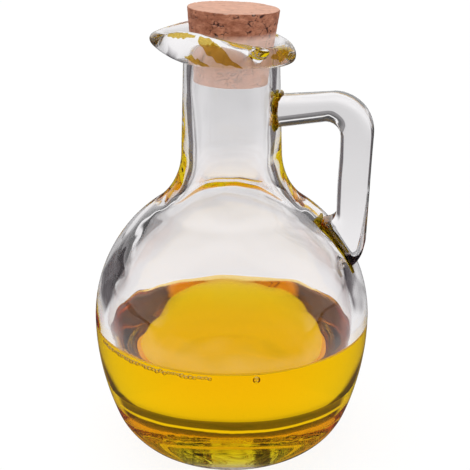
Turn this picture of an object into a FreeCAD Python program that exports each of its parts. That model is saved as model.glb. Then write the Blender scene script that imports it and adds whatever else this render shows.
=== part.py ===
import FreeCAD, Part
import math
import os

# Oil and vinegar cruet: a pressed glass bottle with a round belly, a narrow neck, a lip
# drawn out into a pouring spout and a D-shaped handle, part filled with oil and shut
# with a tapered cork that stands a little askew in the mouth.
# Frame: origin at the centre of the flat foot, +Z up, the handle towards +X and the
# spout towards -X. All sizes are in millimetres.

# --- Belly ---
BELLY_RADIUS = 45.0          # widest outside radius
BELLY_HEIGHT = 44.7          # height of the widest place above the foot
UPPER_BELLY_ARC = 46.9       # radius of the outline above the widest place
LOWER_BELLY_ARC = 86.2       # radius of the outline below it
HEEL_ARC = 21.2              # radius that turns the side into the foot
BELLY_WALL = 5.0             # glass thickness of the belly
BASE_THICKNESS = 7.5         # glass under the oil

# --- Shoulder and neck ---
SHOULDER_ARC = 21.2          # hollow outside radius between belly and neck
NECK_RADIUS = 15.85          # outside radius where the neck leaves the shoulder
NECK_NARROWING = 0.034       # loss of radius for each millimetre of height
NECK_TOP = 129.0             # height of the crease under the lip
SHOULDER_WALL = 3.7          # glass thickness where the neck leaves the shoulder
NECK_WALL = 2.4              # glass thickness at the bore's mouth

# --- Lip and spout ---
LIP_REACH = 4.4              # how far the lip stands out from the neck
LIP_HEIGHT = 8.9             # crest of the rim above the crease, at mid slope
LIP_WALL = 3.8               # glass thickness of the rounded rim
MOUTH_RISE = 1.6             # height of the bore's mouth above the crease
RIM_SLOPE = 0.23             # rise of the rim towards the spout
SPOUT_REACH = 6.2            # how far the spout runs out past the round lip
SPOUT_DIP = 6.4              # how far the rim sinks at the tip of the spout
SPOUT_FOCUS = 7.0            # the larger, the narrower the spout

# --- Handle ---
GRIP_INSET = 1.0             # outer face of the grip inside the belly's widest, at mid height
GRIP_WIDTH = 9.7             # width of the grip, seen from the front
GRIP_LEAN = 0.03             # the grip leans in this much for each millimetre down
HANDLE_DEPTH = 11.6          # depth of the handle, front to back
HANDLE_EDGE = 2.8            # rounding of its long edges
BAR_DROP = 10.1              # top of the upper bar at the neck, below the lip's crease
BAR_HEIGHT = 9.4             # height of the upper bar at the neck
BAR_TOP_RISE = 0.09          # slope of the bar's top
BAR_UNDER_RISE = 0.17        # slope of its underside
OUTER_CORNER = 12.5          # upper corner, outside
INNER_CORNER = 4.2           # upper corner, inside
TOE_RISE = 15.0              # the outer face turns in this far above the belly
TOE_SLOPE = 1.1              # slope of the toe below that
TOE_ARC = 11.0               # rounding of that turn
CROTCH_RISE = 6.3            # foot of the gap between grip and belly, above the belly
CROTCH_ARC = 3.6             # rounding there
CROTCH_SLOPE = 0.3           # slope of the gap's foot towards the belly

# --- Oil ---
OIL_LEVEL = 42.0             # height of the oil's surface
OIL_CLEARANCE = 0.1          # between the oil solid and the glass

# --- Cork ---
CORK_PROUD = 14.4            # length of cork above the bore's mouth
CORK_LENGTH = 22.5
CORK_TAPER = 0.115           # gain of radius for each millimetre upwards
CORK_LEAN = 2.5              # degrees, towards the handle
CORK_CLEARANCE = 0.06        # between the cork and the mouth that it sits in
CORK_CHAMFER = 0.5

LIP_DIVISIONS = 48           # control points around the lip
JOINT_TOLERANCE = 0.001      # the lip's spline edges meet the turned circles this well
SAME_PLACE = 0.01            # edges nearer than this lie in the face that is asked for

MOUTH_HEIGHT = NECK_TOP + MOUTH_RISE
BELLY_CENTRE_X = BELLY_RADIUS - UPPER_BELLY_ARC
GRIP_OUTER_X = BELLY_RADIUS - GRIP_INSET
GRIP_INNER_X = GRIP_OUTER_X - GRIP_WIDTH
BAR_TOP = NECK_TOP - BAR_DROP
CORK_TOP = MOUTH_HEIGHT + CORK_PROUD


def at(x, z, y=0.0):
    """A point, by default in the XZ plane that halves the cruet."""
    return FreeCAD.Vector(x, y, z)


def shoulder_centre(belly_wall, neck_wall):
    """Centre of the shoulder's hollow arc, for a surface inside the outer one."""
    reach = UPPER_BELLY_ARC - belly_wall + SHOULDER_ARC + neck_wall
    x = NECK_RADIUS + SHOULDER_ARC
    return at(x, BELLY_HEIGHT + math.sqrt(reach ** 2 - (x - BELLY_CENTRE_X) ** 2))


def neck_radius(height, wall):
    """Radius of the neck at a height, for a surface inside the outer one."""
    return NECK_RADIUS - wall - NECK_NARROWING * (height - shoulder_centre(0, 0).z)


def towards(start, end, distance):
    """The point that far from start on the line to end."""
    step = end - start
    step.normalize()
    return start + step * distance


def arc_edge(centre, radius, start, end):
    """The short arc about centre from start to end."""
    return Part.Arc(start, towards(centre, (start + end) * 0.5, radius), end).toShape()


def line_edge(start, end):
    return Part.LineSegment(start, end).toShape()


def half_outline(belly_wall, low_neck_wall, top_neck_wall, floor, top):
    """Edges from the axis at the floor, round the belly and up the neck to its top."""
    upper = at(BELLY_CENTRE_X, BELLY_HEIGHT)
    upper_arc = UPPER_BELLY_ARC - belly_wall
    lower = at(BELLY_RADIUS - LOWER_BELLY_ARC, BELLY_HEIGHT)
    lower_arc = LOWER_BELLY_ARC - belly_wall
    heel_arc = HEEL_ARC - belly_wall
    heel_z = floor + heel_arc
    heel_run = math.sqrt((lower_arc - heel_arc) ** 2 - (BELLY_HEIGHT - heel_z) ** 2)
    heel = at(lower.x + heel_run, heel_z)
    hollow = shoulder_centre(belly_wall, low_neck_wall)
    hollow_arc = SHOULDER_ARC + low_neck_wall
    foot_edge = at(heel.x, floor)
    heel_end = towards(lower, heel, lower_arc)
    widest = at(BELLY_RADIUS - belly_wall, BELLY_HEIGHT)
    belly_end = towards(upper, hollow, upper_arc)
    neck_start = at(hollow.x - hollow_arc, hollow.z)
    neck_end = at(neck_radius(top, top_neck_wall), top)
    return [
        line_edge(at(0, floor), foot_edge),
        arc_edge(heel, heel_arc, foot_edge, heel_end),
        arc_edge(lower, lower_arc, heel_end, widest),
        arc_edge(upper, upper_arc, widest, belly_end),
        arc_edge(hollow, hollow_arc, belly_end, neck_start),
        line_edge(neck_start, neck_end),
    ]


def turned(shape):
    """The shape turned all round the Z axis."""
    return shape.revolve(at(0, 0), at(0, 1), 360)


def lip_surface():
    """The lip from the neck's crease, over the rounded rim, down to the bore's mouth.

    Each row of control points gives its radius and height on the plain round lip, then
    three shares from 0 to 1: of the rim's slope, of the spout's reach and of its dip."""
    neck = neck_radius(NECK_TOP, 0)
    mouth = neck_radius(MOUTH_HEIGHT, NECK_WALL)
    brim = neck + LIP_REACH
    inside = brim - LIP_WALL
    crest = NECK_TOP + LIP_HEIGHT
    rows = [
        (neck, NECK_TOP, 0.0, 0.0, 0.0),
        (neck + 0.5 * LIP_REACH, NECK_TOP + 0.03 * LIP_HEIGHT, 0.15, 0.25, 0.0),
        (brim + 0.4, NECK_TOP + 0.22 * LIP_HEIGHT, 0.5, 0.65, 0.15),
        (brim + 0.6, NECK_TOP + 0.75 * LIP_HEIGHT, 0.85, 1.0, 0.9),
        (brim - 0.3 * LIP_WALL, crest + 0.5, 1.0, 1.0, 1.0),
        (inside, crest + 0.2, 1.0, 1.0, 1.0),
        (0.4 * inside + 0.6 * mouth, 0.5 * (crest + MOUTH_HEIGHT), 0.6, 0.8, 0.5),
        (mouth + 0.5, MOUTH_HEIGHT + 1.2, 0.1, 0.3, 0.0),
        (mouth, MOUTH_HEIGHT, 0.0, 0.0, 0.0),
    ]
    step = 2 * math.pi / LIP_DIVISIONS
    swell = 3 / (2 + math.cos(step))  # a uniform cubic runs this much inside its poles
    poles = []
    for i in range(LIP_DIVISIONS):
        angle = (i - 1) * step  # the surface then starts over the handle, as the others do
        spout = (0.5 - 0.5 * math.cos(angle)) ** SPOUT_FOCUS
        column = []
        for radius, height, slope_share, reach_share, dip_share in rows:
            r = (radius + SPOUT_REACH * reach_share * spout) * swell
            x = r * math.cos(angle)
            y = r * math.sin(angle)
            z = height - RIM_SLOPE * slope_share * x - SPOUT_DIP * dip_share * spout
            column.append(at(x, z, y))
        poles.append(column)
    inner_knots = len(rows) - 4
    surface = Part.BSplineSurface()
    surface.buildFromPolesMultsKnots(
        poles,
        [1] * (LIP_DIVISIONS + 1),
        [4] + [1] * inner_knots + [4],
        list(range(LIP_DIVISIONS + 1)),
        list(range(inner_knots + 2)),
        True,
        False,
        3,
        3,
    )
    return surface


def lip():
    """The lip as a ring, closed by a cone from the crease to the bore's mouth."""
    surface = lip_surface().toShape()
    rims = [edge for edge in surface.Edges if edge.Closed]
    cone = Part.makeRuledSurface(rims[0], rims[1])
    skin = Part.Compound([surface, cone])
    skin.sewShape(JOINT_TOLERANCE)
    return Part.Solid(skin.Shells[0])


def bottle():
    """Belly, shoulder and neck, turned from one outline, with the same cone at the top."""
    outer = half_outline(0, 0, 0, 0, NECK_TOP)
    inner = half_outline(BELLY_WALL, SHOULDER_WALL, NECK_WALL, BASE_THICKNESS, MOUTH_HEIGHT)
    crease = at(neck_radius(NECK_TOP, 0), NECK_TOP)
    mouth = at(neck_radius(MOUTH_HEIGHT, NECK_WALL), MOUTH_HEIGHT)
    cone = line_edge(crease, mouth)
    axis = line_edge(at(0, BASE_THICKNESS), at(0, 0))
    return turned(Part.Face(Part.Wire(outer + [cone] + inner[::-1] + [axis])))


def rounded_path(corners):
    """Edges along (x, z, radius) corners, each corner turned by an arc."""
    edges = []
    last = at(corners[0][0], corners[0][1])
    for before, here, after in zip(corners, corners[1:], corners[2:]):
        a, b, c = (at(p[0], p[1]) for p in (before, here, after))
        turn = (b - a).getAngle(c - b)
        trim = here[2] * math.tan(turn / 2)
        start = towards(b, a, trim)
        end = towards(b, c, trim)
        middle_way = towards(b, (start + end) * 0.5, here[2] * (1 / math.cos(turn / 2) - 1))
        edges.append(line_edge(last, start))
        edges.append(Part.Arc(start, middle_way, end).toShape())
        last = end
    edges.append(line_edge(last, at(corners[-1][0], corners[-1][1])))
    return edges


def crossing(x1, z1, slope1, x2, z2, lean2):
    """Where z = z1 + slope1 (x - x1) meets x = x2 + lean2 (z - z2)."""
    z = (z1 + slope1 * (x2 - lean2 * z2 - x1)) / (1 - slope1 * lean2)
    return x2 + lean2 * (z - z2), z


def belly_top(x):
    """Height of the belly's outer surface over x."""
    return BELLY_HEIGHT + math.sqrt(UPPER_BELLY_ARC ** 2 - (x - BELLY_CENTRE_X) ** 2)


def in_belly_wall(x, z, slope):
    """Where the line through (x, z) with that slope meets the middle of the wall."""
    depth = UPPER_BELLY_ARC - BELLY_WALL / 2
    dx = x - BELLY_CENTRE_X
    dz = z - BELLY_HEIGHT
    run = 1 / math.sqrt(1 + slope ** 2)
    along = dx * run + dz * slope * run
    step = along - math.sqrt(along ** 2 - (dx ** 2 + dz ** 2 - depth ** 2))
    return x - step * run, z - step * slope * run


def handle():
    """The handle: an outline with round corners, pushed out to its depth, edges rounded.

    Both ends stop inside the glass that carries them."""
    half = HANDLE_DEPTH / 2
    bar_middle = BAR_TOP - BAR_HEIGHT / 2
    bore = neck_radius(bar_middle, NECK_WALL)
    root_x = (bore + math.sqrt(neck_radius(bar_middle, 0) ** 2 - half ** 2)) / 2
    toe_z = belly_top(GRIP_OUTER_X) + TOE_RISE
    crotch_z = belly_top(GRIP_INNER_X) + CROTCH_RISE
    grip_middle = (BAR_TOP + crotch_z) / 2
    neck_x = neck_radius(bar_middle, 0)
    under = BAR_TOP - BAR_HEIGHT
    top_corner = crossing(neck_x, BAR_TOP, BAR_TOP_RISE, GRIP_OUTER_X, grip_middle, GRIP_LEAN)
    toe_corner = (GRIP_OUTER_X + GRIP_LEAN * (toe_z - grip_middle), toe_z)
    crotch_corner = (GRIP_INNER_X + GRIP_LEAN * (crotch_z - grip_middle), crotch_z)
    under_corner = crossing(neck_x, under, BAR_UNDER_RISE, GRIP_INNER_X, grip_middle, GRIP_LEAN)
    toe_end = in_belly_wall(*toe_corner, TOE_SLOPE)
    crotch_end = in_belly_wall(*crotch_corner, CROTCH_SLOPE)
    top_start = (root_x, BAR_TOP + BAR_TOP_RISE * (root_x - neck_x))
    under_end = (root_x, under + BAR_UNDER_RISE * (root_x - neck_x))
    outer = rounded_path([
        (*top_start, 0),
        (*top_corner, OUTER_CORNER),
        (*toe_corner, TOE_ARC),
        (*toe_end, 0),
    ])
    inner = rounded_path([
        (*crotch_end, 0),
        (*crotch_corner, CROTCH_ARC),
        (*under_corner, INNER_CORNER),
        (*under_end, 0),
    ])
    wall_arc = arc_edge(
        at(BELLY_CENTRE_X, BELLY_HEIGHT),
        UPPER_BELLY_ARC - BELLY_WALL / 2,
        at(*toe_end),
        at(*crotch_end),
    )
    root = line_edge(at(*under_end), at(*top_start))
    face = Part.Face(Part.Wire(outer + [wall_arc] + inner + [root]))
    face.translate(at(0, 0, -half))
    block = face.extrude(at(0, 0, HANDLE_DEPTH))
    long_edges = []
    for edge in block.Edges:
        middle = edge.valueAt((edge.FirstParameter + edge.LastParameter) / 2)
        in_face = abs(abs(middle.y) - half) < SAME_PLACE
        across = edge.BoundBox.YLength > SAME_PLACE
        at_root = abs(middle.x - root_x) < SAME_PLACE
        from_belly = math.hypot(middle.x - BELLY_CENTRE_X, middle.z - BELLY_HEIGHT)
        at_wall = abs(from_belly - (UPPER_BELLY_ARC - BELLY_WALL / 2)) < SAME_PLACE
        if in_face and not across and not at_root and not at_wall:
            long_edges.append(edge)
    return block.makeFillet(HANDLE_EDGE, long_edges)


def glass():
    """Bottle, lip and handle: one piece of glass."""
    body = bottle().fuse([lip()], JOINT_TOLERANCE)
    return body.fuse(handle()).removeSplitter().Solids[0]


def oil():
    """The oil: the cavity's form up to the level, just clear of the glass."""
    edges = half_outline(
        BELLY_WALL + OIL_CLEARANCE,
        SHOULDER_WALL + OIL_CLEARANCE,
        NECK_WALL + OIL_CLEARANCE,
        BASE_THICKNESS + OIL_CLEARANCE,
        NECK_TOP,
    )
    top = edges[-1].Vertexes[-1].Point
    edges.append(line_edge(top, at(0, top.z)))
    edges.append(line_edge(at(0, top.z), edges[0].Vertexes[0].Point))
    cavity = turned(Part.Face(Part.Wire(edges)))
    below = Part.makeBox(4 * BELLY_RADIUS, 4 * BELLY_RADIUS, OIL_LEVEL)
    below.translate(at(-2 * BELLY_RADIUS, 0, -2 * BELLY_RADIUS))
    return cavity.common(below).Solids[0]


def cork():
    """A tapered cork with broken edges, leaning as it sits in the mouth."""
    seat = neck_radius(MOUTH_HEIGHT, NECK_WALL) - CORK_CLEARANCE
    bottom = CORK_TOP - CORK_LENGTH
    top_radius = seat + CORK_TAPER * (CORK_TOP - MOUTH_HEIGHT)
    bottom_radius = seat + CORK_TAPER * (bottom - MOUTH_HEIGHT)
    corners = [
        at(0, bottom),
        at(bottom_radius - CORK_CHAMFER, bottom),
        at(bottom_radius, bottom + CORK_CHAMFER),
        at(top_radius, CORK_TOP - CORK_CHAMFER),
        at(top_radius - CORK_CHAMFER, CORK_TOP),
        at(0, CORK_TOP),
        at(0, bottom),
    ]
    body = turned(Part.Face(Part.makePolygon(corners)))
    body.rotate(at(0, MOUTH_HEIGHT), at(0, 0, 1), CORK_LEAN)
    return body


os.makedirs("parts", exist_ok=True)
nodes = {"glass_bottle": glass(), "oil": oil(), "cork": cork()}
for name, shape in nodes.items():
    print(name, shape.ShapeType, "valid", shape.isValid(), "volume", round(shape.Volume, 1))
    shape.exportStep("parts/" + name + ".step")
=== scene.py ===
import math
import random

import bmesh
import bpy
import numpy as np
from mathutils import Matrix, Vector, noise


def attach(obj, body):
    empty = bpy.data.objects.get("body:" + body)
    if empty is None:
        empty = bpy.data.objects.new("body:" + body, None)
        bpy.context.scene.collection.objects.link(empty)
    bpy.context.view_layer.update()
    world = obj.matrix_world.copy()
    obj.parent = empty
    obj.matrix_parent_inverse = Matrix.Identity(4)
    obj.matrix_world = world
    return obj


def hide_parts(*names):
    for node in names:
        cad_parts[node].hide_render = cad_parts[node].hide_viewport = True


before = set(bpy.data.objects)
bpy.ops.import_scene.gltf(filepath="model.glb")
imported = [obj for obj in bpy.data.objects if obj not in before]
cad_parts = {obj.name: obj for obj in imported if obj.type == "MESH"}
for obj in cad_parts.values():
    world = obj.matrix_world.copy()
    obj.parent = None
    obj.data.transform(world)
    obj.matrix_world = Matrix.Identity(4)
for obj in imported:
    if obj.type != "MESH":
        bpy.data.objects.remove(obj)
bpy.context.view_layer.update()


# --- Glass bottle ---
# A thick pressed glass cruet: round belly, hollow shoulder, slightly tapered neck, a rounded lip
# drawn out into a pouring spout, and a D-shaped handle. Neck, belly and handle are one piece of
# clear soda glass, so the handle's ends melt into the neck and the shoulder. Sizes in mm.

belly_radius = 45.0
belly_height = 44.7
upper_belly_arc = 46.9
lower_belly_arc = 86.2
heel_arc = 21.2
belly_wall = 5.0
base_thickness = 7.5
shoulder_arc = 21.2
neck_outside = 15.85
neck_narrowing = 0.034
neck_top = 129.0
shoulder_wall = 3.7
neck_wall = 2.4
mouth_rise = 1.6
mouth_height = neck_top + mouth_rise
belly_centre = belly_radius - upper_belly_arc
lip_reach = 4.4
lip_height = 8.9
lip_wall = 3.8
lip_steps = 48
rim_slope = 0.23
spout_reach = 6.2
spout_dip = 6.4
spout_focus = 7
sides = 384


def straight(start, end, steps):
    """Points on a straight run, its end left off."""
    return [np.array(start) + (np.array(end) - np.array(start)) * i / steps for i in range(steps)]


def arc(centre, radius, start, end, steps):
    """Points on the short arc about centre that starts towards start and ends towards end."""
    first = math.atan2(start[1] - centre[1], start[0] - centre[0])
    last = math.atan2(end[1] - centre[1], end[0] - centre[0])
    turn = (last - first + math.pi) % (2 * math.pi) - math.pi
    angles = [first + turn * i / steps for i in range(steps)]
    ways = [np.array((math.cos(a), math.sin(a))) for a in angles]
    return [np.array(centre) + radius * way for way in ways]


def shoulder_centre(wall, thin_wall):
    """Centre of the shoulder's hollow arc, for a surface that far inside the outer one."""
    reach = upper_belly_arc - wall + shoulder_arc + thin_wall
    x = neck_outside + shoulder_arc
    return x, belly_height + math.sqrt(reach ** 2 - (x - belly_centre) ** 2)


def neck_radius(height, wall):
    """Radius of the neck at a height, that far inside its outer surface."""
    return neck_outside - wall - neck_narrowing * (height - shoulder_centre(0, 0)[1])


def half_outline(wall, low_neck_wall, top_neck_wall, floor, top):
    """(radius, height) points from the middle of the floor, round the belly and up the neck.

    The number that ends each run is how many steps it is made in.
    """
    low_x = belly_radius - lower_belly_arc
    low_arc = lower_belly_arc - wall
    small = heel_arc - wall
    heel_z = floor + small
    heel_x = low_x + math.sqrt((low_arc - small) ** 2 - (belly_height - heel_z) ** 2)
    hollow = shoulder_centre(wall, low_neck_wall)
    hollow_arc = shoulder_arc + low_neck_wall
    upper = (belly_centre, belly_height)
    lower = (low_x, belly_height)
    away = (heel_x + (heel_x - low_x), heel_z + (heel_z - belly_height))
    widest = (belly_radius, belly_height)
    neck_start = (hollow[0] - hollow_arc, hollow[1])
    points = straight((0.0, floor), (heel_x, floor), 34)
    points += arc((heel_x, heel_z), small, (heel_x, floor), away, 30)
    points += arc(lower, low_arc, away, widest, 18)
    points += arc(upper, upper_belly_arc - wall, widest, hollow, 40)
    points += arc(hollow, hollow_arc, upper, neck_start, 24)
    points += straight(neck_start, (neck_radius(top, top_neck_wall), top), 24)
    return points


def lip_rows(angle):
    """Rows that shape the lip at an angle round the bottle, as (radius, height)."""
    neck = neck_radius(neck_top, 0)
    mouth = neck_radius(mouth_height, neck_wall)
    brim = neck + lip_reach
    inner = brim - lip_wall
    crest = neck_top + lip_height
    spout = (0.5 - 0.5 * math.cos(angle)) ** spout_focus
    # Each row: radius, height, and its shares of the rim's slope, the spout's reach and its dip.
    rows = [
        (neck, neck_top, 0.0, 0.0, 0.0),
        (neck + 2.2, neck_top + 0.27, 0.15, 0.25, 0.0),
        (brim + 0.4, neck_top + 1.96, 0.5, 0.65, 0.15),
        (brim + 0.6, neck_top + 6.68, 0.85, 1.0, 0.9),
        (brim - 1.14, crest + 0.5, 1.0, 1.0, 1.0),
        (inner, crest + 0.2, 1.0, 1.0, 1.0),
        (0.4 * inner + 0.6 * mouth, 0.5 * (crest + mouth_height), 0.6, 0.8, 0.5),
        (mouth + 0.5, mouth_height + 1.2, 0.1, 0.3, 0.0),
        (mouth, mouth_height, 0.0, 0.0, 0.0),
    ]
    shaped = []
    for radius, height, slope, reach, dip in rows:
        r = radius + spout_reach * reach * spout
        level = height - rim_slope * slope * r * math.cos(angle)
        shaped.append((r, level - spout_dip * dip * spout))
    return np.array(shaped)


def smooth_through(rows, steps):
    """A clamped cubic B-spline that takes its shape from the rows, its two ends left off."""
    knots = [0] * 3 + list(range(len(rows) - 2)) + [len(rows) - 3] * 3
    points = []
    for step in range(1, steps):
        t = (len(rows) - 3) * step / steps
        span = min(int(t), len(rows) - 4) + 3
        local = [rows[span - 3 + j] for j in range(4)]
        for level in range(1, 4):
            for j in range(3, level - 1, -1):
                low = knots[span - 3 + j]
                high = knots[span + 1 + j - level]
                share = (t - low) / (high - low)
                local[j] = local[j - 1] * (1 - share) + local[j] * share
        points.append(local[3])
    return points


def turned(name, profile_at, count=sides):
    """A closed mesh turned round the upright axis, its profile's ends standing on the axis."""
    mesh = bmesh.new()
    rings = []
    for k in range(count):
        angle = 2 * math.pi * k / count
        column = []
        for radius, height in profile_at(angle):
            place = (radius * math.cos(angle), radius * math.sin(angle), height)
            column.append(mesh.verts.new(Vector(place) * 0.001))
        rings.append(column)
    profile = profile_at(0.0)
    foot = mesh.verts.new((0, 0, profile[0][1] * 0.001))
    head = mesh.verts.new((0, 0, profile[-1][1] * 0.001))
    for k in range(count):
        here, beside = rings[k], rings[(k + 1) % count]
        mesh.faces.new((foot, beside[0], here[0]))
        mesh.faces.new((head, here[-1], beside[-1]))
        for low in range(len(here) - 1):
            mesh.faces.new((here[low], beside[low], beside[low + 1], here[low + 1]))
    data = bpy.data.meshes.new(name)
    mesh.to_mesh(data)
    mesh.free()
    thing = bpy.data.objects.new(name, data)
    bpy.context.scene.collection.objects.link(thing)
    return thing


outside = half_outline(0, 0, 0, 0, neck_top)[1:]
inside = half_outline(belly_wall, shoulder_wall, neck_wall, base_thickness, mouth_height)[1:]
crease = (neck_radius(neck_top, 0), neck_top)
mouth = (neck_radius(mouth_height, neck_wall), mouth_height)


def bottle_profile(angle):
    """The whole cut through the glass at an angle: outside, lip and cavity."""
    lip = smooth_through(lip_rows(angle), lip_steps)
    return outside + [crease] + lip + [mouth] + inside[::-1]


bottle = turned("bottle", bottle_profile)

handle_depth = 11.6
handle_edge = 2.8
grip_inset = 1.0
grip_width = 9.7
grip_lean = 0.03
bar_drop = 10.1
bar_height = 9.4
bar_top_rise = 0.09
bar_under_rise = 0.17
outer_corner = 12.5
inner_corner = 4.2
toe_rise = 15.0
toe_slope = 1.1
toe_arc = 11.0
crotch_rise = 6.3
crotch_slope = 0.3
crotch_arc = 3.6
run_steps = 20
bend_steps = 16
grip_outer_x = belly_radius - grip_inset
grip_inner_x = grip_outer_x - grip_width
bar_top = neck_top - bar_drop
bar_under = bar_top - bar_height


def rounded_path(corners):
    """Points and leftward directions along (x, z, radius) corners, each corner an arc."""
    path = []
    places = [np.array(c[:2]) for c in corners]
    last = places[0]
    for before, here, after, corner in zip(places, places[1:], places[2:], corners[1:]):
        come = (here - before) / np.linalg.norm(here - before)
        go = (after - here) / np.linalg.norm(after - here)
        side = 1.0 if come[0] * go[1] - come[1] * go[0] > 0 else -1.0
        turn = math.acos(max(-1.0, min(1.0, float(come @ go))))
        trim = corner[2] * math.tan(turn / 2)
        start = here - come * trim
        left = np.array((-come[1], come[0]))
        centre = start + left * side * corner[2]
        for i in range(run_steps):
            path.append((last + (start - last) * i / run_steps, left))
        for i in range(bend_steps + 1):
            a = side * turn * i / bend_steps
            out = np.array((
                left[0] * math.cos(a) - left[1] * math.sin(a),
                left[0] * math.sin(a) + left[1] * math.cos(a),
            ))
            path.append((centre - out * side * corner[2], out))
        last = here + go * trim
    for i in range(1, run_steps + 1):
        path.append((last + (places[-1] - last) * i / run_steps, out))
    return path


def crossing(x1, z1, slope, x2, z2, lean):
    """Where z = z1 + slope (x - x1) meets x = x2 + lean (z - z2)."""
    z = (z1 + slope * (x2 - lean * z2 - x1)) / (1 - slope * lean)
    return x2 + lean * (z - z2), z


def belly_top(x):
    """Height of the belly's outside above its widest place."""
    return belly_height + math.sqrt(upper_belly_arc ** 2 - (x - belly_centre) ** 2)


def in_belly_wall(x, z, slope):
    """Where the line through (x, z) with that slope meets the middle of the belly's wall."""
    depth = upper_belly_arc - belly_wall / 2
    dx, dz = x - belly_centre, z - belly_height
    run = 1 / math.sqrt(1 + slope ** 2)
    along = dx * run + dz * slope * run
    step = along - math.sqrt(along ** 2 - (dx ** 2 + dz ** 2 - depth ** 2))
    return x - step * run, z - step * slope * run


bar_middle = bar_top - bar_height / 2
neck_x = neck_radius(bar_middle, 0)
root_x = (neck_radius(bar_middle, neck_wall) + math.sqrt(neck_x ** 2 - handle_depth ** 2 / 4)) / 2
toe_z = belly_top(grip_outer_x) + toe_rise
crotch_z = belly_top(grip_inner_x) + crotch_rise
grip_middle = (bar_top + crotch_z) / 2
top_corner = crossing(neck_x, bar_top, bar_top_rise, grip_outer_x, grip_middle, grip_lean)
under_corner = crossing(neck_x, bar_under, bar_under_rise, grip_inner_x, grip_middle, grip_lean)
toe_corner = (grip_outer_x + grip_lean * (toe_z - grip_middle), toe_z)
crotch_corner = (grip_inner_x + grip_lean * (crotch_z - grip_middle), crotch_z)
toe_end = in_belly_wall(*toe_corner, toe_slope)
crotch_end = in_belly_wall(*crotch_corner, crotch_slope)
outer_path = rounded_path([
    (root_x, bar_top + bar_top_rise * (root_x - neck_x), 0.0),
    (*top_corner, outer_corner),
    (*toe_corner, toe_arc),
    (*toe_end, 0.0),
])
inner_path = rounded_path([
    (root_x, bar_under + bar_under_rise * (root_x - neck_x), 0.0),
    (*under_corner, inner_corner),
    (*crotch_corner, crotch_arc),
    (*crotch_end, 0.0),
])
inner_path = [(place, -left) for place, left in inner_path]


def handle_ring(outer, inner):
    """One cut through the handle: a rounded bar between its outer and its inner path."""
    ring = []
    flat = handle_depth / 2 - handle_edge
    quarter = [math.radians(15 * i) for i in range(7)]
    turns = [(-flat, -a) for a in quarter[::-1]] + [(flat, a) for a in quarter]
    for (place, out), order in ((outer, turns), (inner, turns[::-1])):
        for y, a in order:
            where = place - out * handle_edge * (1 - math.cos(a))
            ring.append((where[0], y + handle_edge * math.sin(a), where[1]))
        last = ring[-1]
        across = inner if order is turns else outer
        far = across[0] - across[1] * handle_edge
        for share in (0.33, 0.67):
            x = last[0] + (far[0] - last[0]) * share
            z = last[2] + (far[1] - last[2]) * share
            ring.append((x, last[1], z))
    return ring


def lofted(name, rings):
    """A closed mesh through rings that have equal numbers of points, in millimetres."""
    mesh = bmesh.new()
    rows = [[mesh.verts.new(Vector(p) * 0.001) for p in ring] for ring in rings]
    count = len(rows[0])
    for below, above in zip(rows, rows[1:]):
        for i in range(count):
            j = (i + 1) % count
            mesh.faces.new((below[i], below[j], above[j], above[i]))
    mesh.faces.new(rows[0][::-1])
    mesh.faces.new(rows[-1])
    bmesh.ops.recalc_face_normals(mesh, faces=mesh.faces)
    data = bpy.data.meshes.new(name)
    mesh.to_mesh(data)
    mesh.free()
    thing = bpy.data.objects.new(name, data)
    bpy.context.scene.collection.objects.link(thing)
    return thing


handle = lofted("handle", [handle_ring(o, i) for o, i in zip(outer_path, inner_path)])


def applied(thing):
    """Bakes the piece's modifiers into its mesh."""
    graph = bpy.context.evaluated_depsgraph_get()
    baked = bpy.data.meshes.new_from_object(thing.evaluated_get(graph))
    thing.modifiers.clear()
    thing.data = baked


join = bottle.modifiers.new("handle", "BOOLEAN")
join.operation = "UNION"
join.solver = "EXACT"
join.object = handle
applied(bottle)
bpy.data.objects.remove(handle)


def smooth_with_creases(thing, degrees):
    """Shades the piece smooth, apart from edges that turn more sharply than the angle."""
    mesh = bmesh.new()
    mesh.from_mesh(thing.data)
    limit = math.radians(degrees)
    for face in mesh.faces:
        face.smooth = True
    for edge in mesh.edges:
        edge.smooth = len(edge.link_faces) != 2 or edge.calc_face_angle(0.0) < limit
    mesh.to_mesh(thing.data)
    mesh.free()


broad_swell = 17.0
fine_swell = 6.5
neck_from = 92.0
foot_ridges = 124
ridge_circle = 29.5
ridge_band = 2.2
ridge_height = 0.02


def unevenness(place, normal):
    """How far the pressed glass stands off its true form, in millimetres.

    The cavity waves more than the outside, most of all in the neck, and fine ridges stand in a
    ring under the foot.
    """
    radius = math.hypot(place.x, place.y)
    angle = math.atan2(place.y, place.x)
    inner = normal.x * place.x + normal.y * place.y < 0 or (place.z < 12 and normal.z > 0.5)
    broad = noise.noise(place / broad_swell + Vector((3.1, 0.0, 7.7)))
    fine = noise.noise(place / fine_swell + Vector((0.0, 9.2, 1.4)))
    swell = 0.30 + 0.22 * min(1.0, max(0.0, (place.z - neck_from) / 10.0))
    amount = (swell * broad + 0.09 * fine) if inner else (0.10 * broad + 0.02 * fine)
    ridge = math.exp(-((radius - ridge_circle) / ridge_band) ** 2) if place.z < 5.0 else 0.0
    wobble = 1.0 + 0.5 * noise.noise(Vector((math.cos(angle), math.sin(angle), 0.3)) * 5.0)
    teeth = 1.0 + math.cos(foot_ridges * angle + 3.0 * wobble)
    return amount - ridge * ridge_height * wobble * teeth


def made_uneven(thing):
    """Moves each point of the glass off its true form, none of them below the table."""
    thing.data.update()
    normals = [vertex.normal.copy() for vertex in thing.data.vertices]
    for vertex, normal in zip(thing.data.vertices, normals):
        place = vertex.co * 1000
        vertex.co += normal * unevenness(place, normal) * 0.001
        vertex.co.z = max(vertex.co.z, 0.0)


made_uneven(bottle)
smooth_with_creases(bottle, 35)

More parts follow.
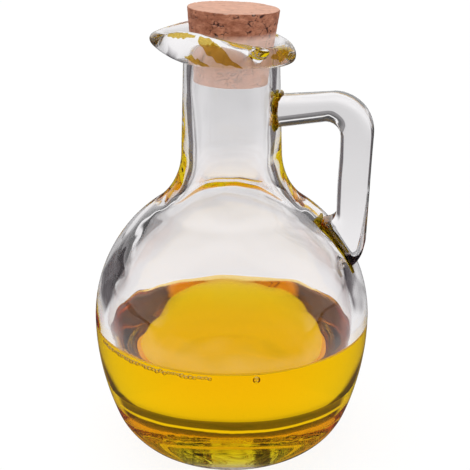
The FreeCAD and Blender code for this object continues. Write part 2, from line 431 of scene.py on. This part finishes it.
glass_ior = 1.5
glass = bpy.data.materials.new("clear_glass")
glass.use_nodes = True
glass_shader = glass.node_tree.nodes["Principled BSDF"]
glass_shader.inputs["Base Color"].default_value = (0.985, 0.985, 0.99, 1.0)
glass_shader.inputs["Roughness"].default_value = 0.0
glass_shader.inputs["IOR"].default_value = glass_ior
glass_shader.inputs["Transmission Weight"].default_value = 1.0
tint = glass.node_tree.nodes.new("ShaderNodeVolumeAbsorption")
tint.inputs["Color"].default_value = (0.80, 0.76, 0.78, 1.0)
tint.inputs["Density"].default_value = 7.0
glass_output = glass.node_tree.nodes["Material Output"]
glass.node_tree.links.new(tint.outputs["Volume"], glass_output.inputs["Volume"])
bottle.data.materials.clear()
bottle.data.materials.append(glass)


def mark_faces(thing, name, wanted):
    """Stores 1 on the faces that are wanted by their middle and direction, and 0 on the others."""
    mark = thing.data.attributes.new(name, "FLOAT", "FACE")
    for face, entry in zip(thing.data.polygons, mark.data):
        entry.value = 1.0 if wanted(face.center * 1000, face.normal) else 0.0


def read_mark(tree, name):
    """The value that the mesh stores under a name."""
    mark = tree.nodes.new("ShaderNodeAttribute")
    mark.attribute_name = name
    return mark.outputs["Fac"]


def scaled(tree, value, start, end, low=0.0, high=1.0):
    """Turns start to end of a value into low to high, and holds it level beyond them."""
    node = tree.nodes.new("ShaderNodeMapRange")
    node.inputs["From Min"].default_value = start
    node.inputs["From Max"].default_value = end
    node.inputs["To Min"].default_value = low
    node.inputs["To Max"].default_value = high
    tree.links.new(value, node.inputs["Value"])
    return node.outputs["Result"]


def bend_light_by_mark(material, name, marked_ior, plain_ior):
    """Gives the marked faces an index of refraction of their own."""
    tree = material.node_tree
    chosen = scaled(tree, read_mark(tree, name), 0.0, 1.0, plain_ior, marked_ior)
    tree.links.new(chosen, tree.nodes["Principled BSDF"].inputs["IOR"])


oil_level = 42.0
oil_climb = 0.8


def cavity_radius(height):
    """Inside radius of the belly, for heights below its widest place."""
    low_x = belly_radius - lower_belly_arc
    return low_x + math.sqrt((lower_belly_arc - belly_wall) ** 2 - (height - belly_height) ** 2)


def under_oil(middle, facing):
    """Whether a face is part of the cavity's wall that the oil wets."""
    inward = facing.x * middle.x + facing.y * middle.y < 0 or facing.z > 0.5
    return inward and base_thickness - 0.6 < middle.z < oil_level + oil_climb


# Light is bent once between glass and oil, by the oil's own face, so the wetted wall bends none.
mark_faces(bottle, "wetted", under_oil)
bend_light_by_mark(glass, "wetted", 1.0, glass_ior)
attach(bottle, "root")
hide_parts("glass_bottle")


# --- Oil ---
# Golden cooking oil that fills the lower belly, as clear as the glass around it. It wets the wall,
# so its level surface climbs a little where it meets the glass.

into_wall = 0.15
climb_width = 0.9
climb_band = 12.0
climb_rows = 40
level_rows = 12


def oil_profile(angle):
    """The oil's outline, the same all round: up the wetted wall, then in over its surface."""
    top = oil_level + oil_climb
    wall = belly_wall - into_wall
    cavity = half_outline(wall, shoulder_wall, neck_wall, base_thickness - into_wall, 100.0)[1:]
    wet = [p for p in cavity if p[1] < top - 0.1]
    edge = cavity_radius(top) + into_wall
    surface = []
    for i in range(climb_rows):
        away = climb_band * (i / (climb_rows - 1)) ** 1.6
        surface.append((edge - away, oil_level + oil_climb * math.exp(-away / climb_width)))
    middle = edge - climb_band
    level = [(middle * (1 - i / level_rows), oil_level) for i in range(1, level_rows)]
    return wet + surface + level


oil_body = turned("oil_body", oil_profile, 192)
smooth_with_creases(oil_body, 40)
oil_ior = 1.47
oil_material = bpy.data.materials.new("golden_oil")
oil_material.use_nodes = True
oil_shader = oil_material.node_tree.nodes["Principled BSDF"]
oil_shader.inputs["Base Color"].default_value = (1.0, 0.84, 0.3, 1.0)
oil_shader.inputs["Roughness"].default_value = 0.0
oil_shader.inputs["IOR"].default_value = oil_ior
oil_shader.inputs["Transmission Weight"].default_value = 1.0
dye = oil_material.node_tree.nodes.new("ShaderNodeVolumeAbsorption")
dye.inputs["Color"].default_value = (0.998, 0.959, 0.0, 1.0)
dye.inputs["Density"].default_value = 200.0
oil_output = oil_material.node_tree.nodes["Material Output"]
oil_material.node_tree.links.new(dye.outputs["Volume"], oil_output.inputs["Volume"])
oil_body.data.materials.append(oil_material)


def against_glass(middle, facing):
    """Whether a face of the oil lies on the glass, and not at its open surface."""
    outward = facing.x * middle.x + facing.y * middle.y > 0.3 * math.hypot(middle.x, middle.y)
    return outward or facing.z < -0.3


def mixed(tree, share, first, second, blend="MIX"):
    """Mixes two colours by a share, each given as a socket or as red, green and blue."""
    node = tree.nodes.new("ShaderNodeMix")
    node.data_type = "RGBA"
    node.blend_type = blend
    tree.links.new(share, node.inputs["Factor"])
    for name, colour in (("A", first), ("B", second)):
        if isinstance(colour, tuple):
            node.inputs[name].default_value = (*colour, 1.0)
        else:
            tree.links.new(colour, node.inputs[name])
    return node.outputs["Result"]


surface_tint = (1.0, 0.60, 0.12)
mark_faces(oil_body, "against_glass", against_glass)
bend_light_by_mark(oil_material, "against_glass", oil_ior / glass_ior, oil_ior)
oil_tree = oil_material.node_tree
oil_tint = mixed(oil_tree, read_mark(oil_tree, "against_glass"), surface_tint, (1.0, 1.0, 1.0))
oil_tree.links.new(oil_tint, oil_shader.inputs["Base Color"])
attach(oil_body, "root")
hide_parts("oil")


# --- Bubbles ---
# Air bubbles that cling to the glass just under the oil's surface, a loose row of small ones at
# the left of the front and one larger one near the middle. Each is a hollow in the oil.


def add_ball(mesh, centre, radius, across=18, up=12):
    """A ball turned inside out, so that the oil lies outside it."""
    rings = []
    for i in range(1, up):
        tilt = math.pi * i / up
        ring = []
        for k in range(across):
            a = 2 * math.pi * k / across
            wide = math.sin(tilt)
            out = Vector((wide * math.cos(a), wide * math.sin(a), math.cos(tilt)))
            ring.append(mesh.verts.new((centre + out * radius) * 0.001))
        rings.append(ring)
    top = mesh.verts.new((centre + Vector((0, 0, radius))) * 0.001)
    bottom = mesh.verts.new((centre - Vector((0, 0, radius))) * 0.001)
    for k in range(across):
        j = (k + 1) % across
        mesh.faces.new((top, rings[0][j], rings[0][k]))
        mesh.faces.new((bottom, rings[-1][k], rings[-1][j]))
        for above, below in zip(rings, rings[1:]):
            mesh.faces.new((above[k], above[j], below[j], below[k]))


def place_bubble(mesh, angle, height, radius, off_wall):
    """A bubble that hangs that far off the cavity's wall."""
    away = cavity_radius(height) - radius - off_wall
    add_ball(mesh, Vector((away * math.cos(angle), away * math.sin(angle), height)), radius)


bubble_smallest = 0.50
bubble_largest = 0.85
bubble_off_wall = 0.12
lone_bubble = 1.15
lone_off_wall = 0.1
row_start = math.radians(-148.0)
row_end = math.radians(-87.0)
lone_angle = math.radians(-67.5)
chance = random.Random(7)
foam = bmesh.new()
bubble_angle = row_start
while bubble_angle < row_end:
    radius = chance.uniform(bubble_smallest, bubble_largest)
    height = oil_level - 0.1 - radius * chance.uniform(1.0, 1.6)
    place_bubble(foam, bubble_angle, height, radius, bubble_off_wall)
    bubble_angle += math.radians(chance.uniform(1.3, 1.9)) * (radius + 0.4)
place_bubble(foam, lone_angle, oil_level - 0.3 - lone_bubble, lone_bubble, lone_off_wall)
foam_mesh = bpy.data.meshes.new("bubbles")
foam.to_mesh(foam_mesh)
foam.free()
for face in foam_mesh.polygons:
    face.use_smooth = True
bubbles = bpy.data.objects.new("bubbles", foam_mesh)
bpy.context.scene.collection.objects.link(bubbles)
air_in_oil = bpy.data.materials.new("air_in_oil")
air_in_oil.use_nodes = True
air_shader = air_in_oil.node_tree.nodes["Principled BSDF"]
air_shader.inputs["Base Color"].default_value = (1.0, 0.97, 0.85, 1.0)
air_shader.inputs["Roughness"].default_value = 0.0
air_shader.inputs["IOR"].default_value = oil_ior
air_shader.inputs["Transmission Weight"].default_value = 1.0
foam_mesh.materials.append(air_in_oil)
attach(bubbles, "root")


# --- Oil beads at the handle ---
# Oil that has run down from the lip and stays in the hollow corners where the handle's two ends
# melt into the glass: a strip beside the upper bar and a wedge over the lower end.


def bead(name, path, radii, across=20):
    """A rounded bead that follows a path, its thickness given at each point, in millimetres."""
    rings = []
    for i, (here, radius) in enumerate(zip(path, radii)):
        ahead = path[min(i + 1, len(path) - 1)] - path[max(i - 1, 0)]
        ahead.normalize()
        side = ahead.cross(Vector((here.x, here.y, 0.0)).normalized()).normalized()
        up = side.cross(ahead)
        turns = [2 * math.pi * k / across for k in range(across)]
        rings.append([here + (side * math.cos(a) + up * math.sin(a)) * radius for a in turns])
    return lofted(name, rings)


def outer_radius(height):
    """Outside radius of the bottle at a height above its widest place."""
    for low, high in zip(outside, outside[1:]):
        if low[1] <= height <= high[1] and low[1] >= belly_height:
            share = (height - low[1]) / (high[1] - low[1])
            return low[0] + (high[0] - low[0]) * share
    return outside[-1][0]


def on_glass(y, height, proud=0.0):
    """A point on the bottle's outside towards the handle, that far in or out of the surface."""
    radius = outer_radius(height) + proud
    return Vector((math.sqrt(radius ** 2 - y ** 2), y, height))


near_side = -handle_depth / 2
strip_steps = 24
upper_path = []
upper_radii = []
# Up the near side of the upper bar, then back over its top.
for i in range(strip_steps + 1):
    share = i / strip_steps
    y = near_side + 0.1 + 0.5 * share ** 4
    upper_path.append(on_glass(y, bar_under - 0.8 + 9.6 * share, 0.15))
    thinning = 0.65 * max(0.0, 1 - share / 0.15) ** 2
    upper_radii.append(0.95 + 0.25 * math.sin(9.0 * share) - thinning)
for i in range(1, strip_steps + 1):
    share = i / strip_steps
    y = near_side + 0.6 + 9.8 * share
    upper_path.append(on_glass(y, bar_top - 0.4 + 0.5 * min(1, 6 * share), 0.35))
    upper_radii.append(1.2 - 0.7 * share)
upper_bead = bead("upper_oil_bead", upper_path, upper_radii)

wedge_steps = 40
wedge_top_steps = 15
lower_path = []
lower_radii = []
# Up the near side of the handle's lower end, then back along the foot of the gap.
for i in range(wedge_steps + 1):
    share = i / wedge_steps
    height = toe_end[1] + 0.6 + (crotch_end[1] + 0.9 - toe_end[1]) * share
    lower_path.append(on_glass(near_side - 0.05 + 0.6 * share ** 6, height, 0.1))
    lower_radii.append(0.55 + 0.85 * share ** 1.3 + 0.12 * math.sin(17 * share))
for i in range(1, wedge_top_steps + 1):
    share = i / wedge_top_steps
    lower_path.append(on_glass(near_side + 0.55 + 8.0 * share, crotch_end[1] + 1.5, 0.1))
    lower_radii.append(1.4 - 0.9 * share)
lower_bead = bead("lower_oil_bead", lower_path, lower_radii)

bead_oil = bpy.data.materials.new("thick_oil")
bead_oil.use_nodes = True
bead_nodes = bead_oil.node_tree.nodes
bead_links = bead_oil.node_tree.links
bead_shader = bead_nodes["Principled BSDF"]
bead_shader.inputs["Roughness"].default_value = 0.0
bead_shader.inputs["IOR"].default_value = 1.06
bead_shader.inputs["Transmission Weight"].default_value = 1.0
streaks = bead_nodes.new("ShaderNodeTexNoise")
streaks.inputs["Scale"].default_value = 420.0
streaks.inputs["Detail"].default_value = 3.0
golden = bead_nodes.new("ShaderNodeValToRGB")
golden.color_ramp.elements[0].position = 0.35
golden.color_ramp.elements[0].color = (0.16, 0.09, 0.002, 1)
golden.color_ramp.elements[1].position = 0.62
golden.color_ramp.elements[1].color = (0.62, 0.44, 0.02, 1)
bead_links.new(streaks.outputs["Fac"], golden.inputs["Fac"])
bead_links.new(golden.outputs["Color"], bead_shader.inputs["Base Color"])
for drop in (upper_bead, lower_bead):
    smooth_with_creases(drop, 60)
    drop.data.materials.append(bead_oil)
    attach(drop, "root")


# --- Oil smears ---
# Thin films of oil left on the lip by pouring: a broad one slants across the front of the lip,
# and smaller ones lie beside the spout and over the handle.


def lip_point(angle, along):
    """A point on the outside of the lip: along runs from 0 at the crease to 1 at the mouth."""
    row = smooth_through(lip_rows(angle), lip_steps)
    at = max(0.0, min(0.999, along)) * (len(row) - 1)
    low = int(at)
    radius, height = row[low] + (row[low + 1] - row[low]) * (at - low)
    return Vector((radius * math.cos(angle), radius * math.sin(angle), height))


film_thickness = 0.22
film_edge = 0.02
film_sunk = 0.05


def smear(mesh, start, end, widths, seed, steps=64, across=10):
    """A film from start to end, given as (degrees round the bottle, share up the lip).

    It swells to the given widths along its way, and the seed varies its edge.
    """
    top_rows = []
    low_rows = []
    for i in range(steps + 1):
        share = i / steps
        centre_angle = start[0] + (end[0] - start[0]) * share
        centre_along = start[1] + (end[1] - start[1]) * share
        wide = np.interp(share, np.linspace(0, 1, len(widths)), widths)
        wide *= 1.0 + 0.7 * noise.noise(Vector((share * 7.0, seed, 0.0)))
        drift = 0.25 * wide * noise.noise(Vector((share * 6.0, seed, 4.0)))
        upper = []
        lower = []
        for j in range(across + 1):
            off = j / across * 2 - 1
            angle = math.radians(centre_angle)
            along = centre_along + (off * wide + drift) * 0.5
            place = lip_point(angle, along)
            sideways = lip_point(angle + 0.01, along) - place
            upwards = lip_point(angle, along + 0.01) - place
            out = sideways.cross(upwards).normalized()
            swell = (1 - off ** 2) * (1 - (2 * share - 1) ** 8)
            height = film_thickness * swell * (1 + 0.5 * noise.noise(place / 1.2))
            upper.append(mesh.verts.new((place + out * (film_edge + height)) * 0.001))
            lower.append(mesh.verts.new((place - out * film_sunk) * 0.001))
        top_rows.append(upper)
        low_rows.append(lower)
    for a, b, c, d in zip(top_rows, top_rows[1:], low_rows, low_rows[1:]):
        for j in range(across):
            mesh.faces.new((a[j], a[j + 1], b[j + 1], b[j]))
            mesh.faces.new((c[j], d[j], d[j + 1], c[j + 1]))
        mesh.faces.new((a[0], b[0], d[0], c[0]))
        mesh.faces.new((a[-1], c[-1], d[-1], b[-1]))
    first_top, last_top = top_rows[0], top_rows[-1]
    first_low, last_low = low_rows[0], low_rows[-1]
    for j in range(across):
        mesh.faces.new((first_top[j], first_low[j], first_low[j + 1], first_top[j + 1]))
        mesh.faces.new((last_top[j], last_top[j + 1], last_low[j + 1], last_low[j]))


film = bmesh.new()
smear(film, (-108, 0.44), (-68, 0.10), (0.08, 0.26, 0.30, 0.18, 0.12, 0.03), 1.7)
smear(film, (-140, 0.44), (-112, 0.46), (0.05, 0.12, 0.14, 0.10, 0.05), 5.1)
smear(film, (-122, 0.16), (-100, 0.08), (0.03, 0.10, 0.12, 0.04), 8.3)
smear(film, (-42, 0.32), (-14, 0.42), (0.03, 0.14, 0.20, 0.16, 0.05), 3.9)
bmesh.ops.recalc_face_normals(film, faces=film.faces)
film_mesh = bpy.data.meshes.new("oil_smears")
film.to_mesh(film_mesh)
film.free()
for face in film_mesh.polygons:
    face.use_smooth = True
smears = bpy.data.objects.new("oil_smears", film_mesh)
bpy.context.scene.collection.objects.link(smears)
film_oil = bead_oil.copy()
film_oil.name = "thin_oil"
film_colour = film_oil.node_tree.nodes[golden.name].color_ramp
film_colour.elements[0].color = (0.42, 0.26, 0.03, 1)
film_colour.elements[1].color = (0.85, 0.66, 0.16, 1)
film_mesh.materials.append(film_oil)
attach(smears, "root")


# --- Cork ---
# A tapered stopper turned from pressed natural cork, pushed into the mouth a little askew, so it
# leans towards the handle. Its sides and top are pitted and cracked.

cork_proud = 14.4
cork_length = 22.5
cork_taper = 0.115
cork_lean = 2.5
cork_clearance = 0.06
cork_edge = 0.5
cork_top = mouth_height + cork_proud
cork_seat = neck_radius(mouth_height, neck_wall) - cork_clearance
end_steps = 16
edge_turns = [math.radians(22.5 * i) for i in range(5)]
side_steps = 90
top_steps = 40


def cork_profile(angle):
    """The cork's outline, the same all round: its lower end, its side and its top."""
    bottom = cork_top - cork_length
    points = []
    low = cork_seat + cork_taper * (bottom - mouth_height)
    high = cork_seat + cork_taper * cork_proud
    low_flat = low - cork_edge
    high_flat = high - cork_edge
    for i in range(1, end_steps):
        points.append((low_flat * i / end_steps, bottom))
    for a in edge_turns:
        z = bottom + cork_edge - cork_edge * math.cos(a)
        points.append((low_flat + cork_edge * math.sin(a), z))
    for i in range(1, side_steps):
        share = i / side_steps
        z = bottom + cork_edge + (cork_length - 2 * cork_edge) * share
        points.append((low + (high - low) * share, z))
    for a in edge_turns:
        z = cork_top - cork_edge + cork_edge * math.sin(a)
        points.append((high_flat + cork_edge * math.cos(a), z))
    for i in range(1, top_steps):
        points.append((high_flat * (1 - i / top_steps), cork_top))
    return points


cork_body = turned("cork_body", cork_profile, 360)
pit_reach = 0.30
pit_depth = 0.55
crack_reach = 0.075
crack_depth = 0.30


def cork_pits(place, normal):
    """How deep the pits, grooves and crumbled edges go, in millimetres."""
    low = noise.noise(place / 4.2)
    grain = noise.noise(Vector((place.x / 1.1, place.y / 1.1, place.z / 0.8)))
    crumb = Vector((place.x / 3.1, place.y / 3.1, place.z / 1.9 + 4.0))
    cell = noise.voronoi(crumb + Vector((low, low, low)) * 0.7)[0]
    pit = max(0.0, pit_reach - cell[0]) / pit_reach
    seam = max(0.0, crack_reach - abs(cell[1] - cell[0])) / crack_reach
    chosen = max(0.0, noise.noise(place / 5.0 + Vector((7.0, 2.0, 5.0))) + 0.25)
    on_top = 0.25 if normal.z > 0.7 else 1.0
    crack = crack_depth * seam * min(1.0, 3.0 * chosen) * on_top
    hollow = pit_depth * pit * min(1.0, 2.5 * chosen)
    return 0.06 * low + 0.05 * grain - hollow - crack


# Inside the mouth nothing stands proud of the cork's true form, so it stays clear of the glass.
above_mouth = mouth_height + 1.0
crumb_height = 0.12
pits = cork_body.data.attributes.new("pits", "FLOAT", "POINT")
cork_body.data.update()
cork_normals = [vertex.normal.copy() for vertex in cork_body.data.vertices]
for vertex, normal, entry in zip(cork_body.data.vertices, cork_normals, pits.data):
    depth = cork_pits(vertex.co * 1000, normal)
    entry.value = depth
    proud = 0.0 if vertex.co.z * 1000 < above_mouth else crumb_height
    vertex.co += normal * min(proud, depth) * 0.001

cork_body.data.transform(
    Matrix.Translation((0, 0, mouth_height * 0.001))
    @ Matrix.Rotation(math.radians(cork_lean), 4, "Y")
    @ Matrix.Translation((0, 0, -mouth_height * 0.001))
)
smooth_with_creases(cork_body, 75)
cork_material = bpy.data.materials.new("natural_cork")
cork_material.use_nodes = True
cork_tree = cork_material.node_tree
cork_shader = cork_tree.nodes["Principled BSDF"]
cork_shader.inputs["Specular IOR Level"].default_value = 0.25
cork_place = cork_tree.nodes.new("ShaderNodeTexCoord").outputs["Object"]
stretch = cork_tree.nodes.new("ShaderNodeMapping")
stretch.inputs["Scale"].default_value = (1.0, 1.0, 1.9)
cork_tree.links.new(cork_place, stretch.inputs["Vector"])
mottle = cork_tree.nodes.new("ShaderNodeTexNoise")
mottle.inputs["Scale"].default_value = 330.0
mottle.inputs["Detail"].default_value = 6.0
mottle.inputs["Roughness"].default_value = 0.7
cork_tree.links.new(stretch.outputs["Vector"], mottle.inputs["Vector"])
base_colour = cork_tree.nodes.new("ShaderNodeValToRGB")
base_colour.color_ramp.elements[0].position = 0.30
base_colour.color_ramp.elements[0].color = (0.19, 0.062, 0.032, 1)
base_colour.color_ramp.elements[1].position = 0.68
base_colour.color_ramp.elements[1].color = (0.50, 0.22, 0.13, 1)
middle_tone = base_colour.color_ramp.elements.new(0.48)
middle_tone.color = (0.31, 0.115, 0.065, 1)
cork_tree.links.new(mottle.outputs["Fac"], base_colour.inputs["Fac"])
flecks = cork_tree.nodes.new("ShaderNodeTexNoise")
flecks.inputs["Scale"].default_value = 900.0
flecks.inputs["Detail"].default_value = 3.0
cork_tree.links.new(stretch.outputs["Vector"], flecks.inputs["Vector"])
fleck_share = scaled(cork_tree, flecks.outputs["Fac"], 0.60, 0.70)
flecked = mixed(cork_tree, fleck_share, base_colour.outputs["Color"], (0.20, 0.075, 0.045))
# Partly painted shade: the pits darken with their depth, partly as the cork's own dark pores and
# partly as painted shade in the hollows.
pore_and_shade_share = scaled(cork_tree, read_mark(cork_tree, "pits"), -0.07, -0.18)
pitted = mixed(cork_tree, pore_and_shade_share, flecked, (0.055, 0.022, 0.018))

# Painted light: the cut end is painted paler than the side, as if lit from above, and the part behind
# the glass, below 137.5 mm, is painted paler too.
cork_facing = cork_tree.nodes.new("ShaderNodeNewGeometry").outputs["True Normal"]
facing_up = cork_tree.nodes.new("ShaderNodeSeparateXYZ")
cork_tree.links.new(cork_facing, facing_up.inputs[0])
painted_top_light = scaled(cork_tree, facing_up.outputs["Z"], 0.55, 0.85, 0.0, 0.45)
top_light_painted = mixed(cork_tree, painted_top_light, pitted, (0.95, 0.62, 0.48))
# Painted light: the cork inside the mouth is painted paler, to make up for the light it loses behind
# the glass.
cork_height = cork_tree.nodes.new("ShaderNodeSeparateXYZ")
cork_tree.links.new(cork_place, cork_height.inputs[0])
painted_light_behind_glass = scaled(cork_tree, cork_height.outputs["Z"], 0.1385, 0.1365, 0.0, 0.62)
cork_colour = mixed(cork_tree, painted_light_behind_glass, top_light_painted, (0.86, 0.66, 0.58))
cork_tree.links.new(cork_colour, cork_shader.inputs["Base Color"])
bumps = cork_tree.nodes.new("ShaderNodeBump")
bumps.inputs["Strength"].default_value = 0.5
bumps.inputs["Distance"].default_value = 0.0004
cork_tree.links.new(mottle.outputs["Fac"], bumps.inputs["Height"])
cork_tree.links.new(bumps.outputs["Normal"], cork_shader.inputs["Normal"])
cork_shader.inputs["Roughness"].default_value = 0.85
cork_body.data.materials.append(cork_material)
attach(cork_body, "root")
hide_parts("cork")


# --- Studio ---
# A plain pale table under one soft lamp, with white all round it. The light on the object is that
# alone, apart from light and shade painted on the cork: what the glass shows through itself and
# mirrors is set by the kind of ray, as a bright backdrop, grey panels at both sides of the view and
# little light in front of the bottle.

view_across = (0.978, 0.208, 0.0)
view_ahead = (-0.208, 0.978, 0.0)


def ramp(tree, value, start, end, between, tone=(1.0, 0.985, 0.99)):
    """A colour ramp: its ends as (place, colour), and shades of one tone between them."""
    node = tree.nodes.new("ShaderNodeValToRGB")
    stops = node.color_ramp.elements
    for stop, (place, colour) in ((stops[0], start), (stops[1], end)):
        stop.position = place
        stop.color = (*colour, 1.0)
    for place, shade in between:
        stops.new(place).color = (shade * tone[0], shade * tone[1], shade * tone[2], 1.0)
    tree.links.new(value, node.inputs["Fac"])
    return node.outputs["Color"]


def maths(tree, operation, first, second=None):
    """One step of arithmetic on sockets or numbers."""
    node = tree.nodes.new("ShaderNodeMath")
    node.operation = operation
    for entry, value in zip(node.inputs, (first, second)):
        if isinstance(value, float):
            entry.default_value = value
        elif value is not None:
            tree.links.new(value, entry)
    return node.outputs[0]


def way_along(tree, place, direction):
    """How far a place or a heading lies in a direction."""
    node = tree.nodes.new("ShaderNodeVectorMath")
    node.operation = "DOT_PRODUCT"
    node.inputs[1].default_value = direction
    tree.links.new(place, node.inputs[0])
    return node.outputs["Value"]


def chosen_by(tree, share, first, second):
    """Two shaders mixed by a share, a socket or a number."""
    node = tree.nodes.new("ShaderNodeMixShader")
    if isinstance(share, float):
        node.inputs["Fac"].default_value = share
    else:
        tree.links.new(share, node.inputs["Fac"])
    tree.links.new(first.outputs[0], node.inputs[1])
    tree.links.new(second.outputs[0], node.inputs[2])
    return node


def lit_by_kind(tree, matt, mirrored, through):
    """Shows one shader to matt surfaces, one to mirroring ones and one through glass."""
    rays = tree.nodes.new("ShaderNodeLightPath").outputs
    from_glass = maths(tree, "LESS_THAN", rays["Diffuse Depth"], 0.5)
    mirror_rays = maths(tree, "MULTIPLY", rays["Is Glossy Ray"], from_glass)
    bent_rays = maths(tree, "MULTIPLY", rays["Is Transmission Ray"], from_glass)
    return chosen_by(tree, bent_rays, chosen_by(tree, mirror_rays, matt, mirrored), through)


def strength_ahead(tree, ahead, start, end):
    """Full strength straight through the glass; after a mirroring, next to none in front."""
    rays = tree.nodes.new("ShaderNodeLightPath").outputs
    in_front = scaled(tree, ahead, start, end, 0.04, 1.0)
    straight_through = maths(tree, "LESS_THAN", rays["Glossy Depth"], 0.5)
    return maths(tree, "MAXIMUM", in_front, straight_through)


table = bpy.data.meshes.new("table")
table.from_pydata([(-3, -3, 0), (3, -3, 0), (3, 3, 0), (-3, 3, 0)], [], [(0, 1, 2, 3)])
floor = bpy.data.objects.new("table", table)
floor.location.z = -0.0003
bpy.context.scene.collection.objects.link(floor)
paper = bpy.data.materials.new("white_paper")
paper.use_nodes = True
paper_tree = paper.node_tree
paper_shader = paper_tree.nodes["Principled BSDF"]
paper_shader.inputs["Base Color"].default_value = (0.9, 0.9, 0.9, 1.0)
paper_shader.inputs["Roughness"].default_value = 0.9
spot = paper_tree.nodes.new("ShaderNodeNewGeometry").outputs["Position"]
distance = paper_tree.nodes.new("ShaderNodeVectorMath")
distance.operation = "LENGTH"
paper_tree.links.new(spot, distance.inputs[0])
outward = paper_tree.nodes.new("ShaderNodeVectorMath")
outward.operation = "NORMALIZE"
paper_tree.links.new(spot, outward.inputs[0])

# Through glass the table fades with distance, and two panels of grey stand at its sides.
falloff = ramp(
    paper_tree,
    distance.outputs["Value"],
    (0.0, (1.0, 0.98, 0.985)),
    (1.0, (0.3, 0.29, 0.295)),
    ((0.022, 1.0), (0.1, 1.0), (0.2, 0.93), (0.3, 0.80), (0.45, 0.74), (0.9, 0.71)),
)
off_axis = maths(paper_tree, "ABSOLUTE", way_along(paper_tree, outward.outputs[0], view_across))
panels = ramp(
    paper_tree,
    off_axis,
    (0.50, (1.0, 1.0, 1.0)),
    (0.86, (1.0, 1.0, 1.0)),
    ((0.56, 0.16), (0.80, 0.16)),
    (1.0, 0.9, 0.95),
)
far_off = scaled(paper_tree, distance.outputs["Value"], 0.16, 0.24)
through = paper_tree.nodes.new("ShaderNodeEmission")
paper_ahead = way_along(paper_tree, spot, view_ahead)
paper_strength = strength_ahead(paper_tree, paper_ahead, -0.20, -0.07)
paper_tree.links.new(paper_strength, through.inputs["Strength"])
paneled = mixed(paper_tree, far_off, falloff, panels, "MULTIPLY")
paper_tree.links.new(paneled, through.inputs["Color"])

# The camera sees the table as white, with the object's shadow on it.
glow = paper_tree.nodes.new("ShaderNodeEmission")
paper_rays = paper_tree.nodes.new("ShaderNodeLightPath").outputs
faint = chosen_by(paper_tree, 0.9, paper_shader, glow)
direct = chosen_by(paper_tree, paper_rays["Is Camera Ray"], paper_shader, faint)
mirrored = paper_tree.nodes.new("ShaderNodeEmission")
mirrored.inputs["Color"].default_value = (0.06, 0.058, 0.06, 1)
paper_look = lit_by_kind(paper_tree, direct, mirrored, through)
paper_tree.links.new(paper_look.outputs[0], paper_tree.nodes["Material Output"].inputs["Surface"])
table.materials.append(paper)

world = bpy.data.worlds.new("studio")
bpy.context.scene.world = world
world.use_nodes = True
air = world.node_tree
soft = air.nodes["Background"]
soft.inputs["Color"].default_value = (0.85, 0.85, 0.85, 1)
heading = air.nodes.new("ShaderNodeTexCoord").outputs["Generated"]
split = air.nodes.new("ShaderNodeSeparateXYZ")
air.links.new(heading, split.inputs[0])

# Through glass: a dark band at table height, a bright line over it, dark to half way up and
# white above, with a bright lamp at each side.
sweep = ramp(
    air,
    split.outputs["Z"],
    (0.0, (0.25, 0.24, 0.245)),
    (0.70, (1.0, 0.985, 0.99)),
    ((0.03, 0.16), (0.10, 0.16), (0.115, 1.0), (0.145, 1.0), (0.165, 0.07), (0.44, 0.08), (0.52, 0.6)),
)
either_side = maths(air, "ABSOLUTE", way_along(air, heading, view_across))
lamp_share = scaled(air, either_side, 0.70, 0.76)
ahead = way_along(air, heading, view_ahead)
room = air.nodes.new("ShaderNodeBackground")
air.links.new(strength_ahead(air, ahead, -0.45, -0.30), room.inputs["Strength"])
air.links.new(mixed(air, lamp_share, sweep, (1.0, 0.99, 0.98)), room.inputs["Color"])

# Mirrored: dim all round, apart from the bright backdrop behind the bottle.
dim = air.nodes.new("ShaderNodeBackground")
air.links.new(scaled(air, ahead, 0.70, 0.90, 0.06, 0.85), dim.inputs["Color"])
bright = air.nodes.new("ShaderNodeBackground")
bright.inputs["Color"].default_value = (1.0, 1.0, 1.0, 1)
air_rays = air.nodes.new("ShaderNodeLightPath").outputs
air_look = chosen_by(air, air_rays["Is Camera Ray"], lit_by_kind(air, soft, dim, room), bright)
air.links.new(air_look.outputs[0], air.nodes["World Output"].inputs["Surface"])

# One broad soft lamp overhead, kept out of mirrorings and of what glass shows.
sky = bpy.data.lights.new("overhead", "SUN")
sky.energy = 1.5
sky.angle = math.radians(50)
overhead = bpy.data.objects.new("overhead", sky)
overhead.rotation_euler = (math.radians(8), math.radians(-6), 0)
overhead.visible_glossy = False
overhead.visible_transmission = False
bpy.context.scene.collection.objects.link(overhead)

camera_turn = math.radians(12)
camera_away = 0.3197
camera_height = 0.1865
camera_tilt = math.radians(70.3)
eye = bpy.data.cameras.new("camera")
eye.lens = 80.04
eye.sensor_width = 36
eye.shift_x = 0.0072
camera = bpy.data.objects.new("camera", eye)
camera.location = (
    math.sin(camera_turn) * camera_away,
    -math.cos(camera_turn) * camera_away,
    camera_height,
)
camera.rotation_euler = (camera_tilt, 0, camera_turn)
bpy.context.scene.collection.objects.link(camera)
bpy.context.scene.camera = camera
bpy.context.scene.view_settings.view_transform = "Standard"

# Light bounces many times between the walls of thick glass and oil before it leaves them.
bounces = 160
bpy.context.scene.cycles.max_bounces = bounces
bpy.context.scene.cycles.transmission_bounces = bounces
bpy.context.scene.cycles.glossy_bounces = bounces
bpy.context.scene.cycles.blur_glossy = 0.0
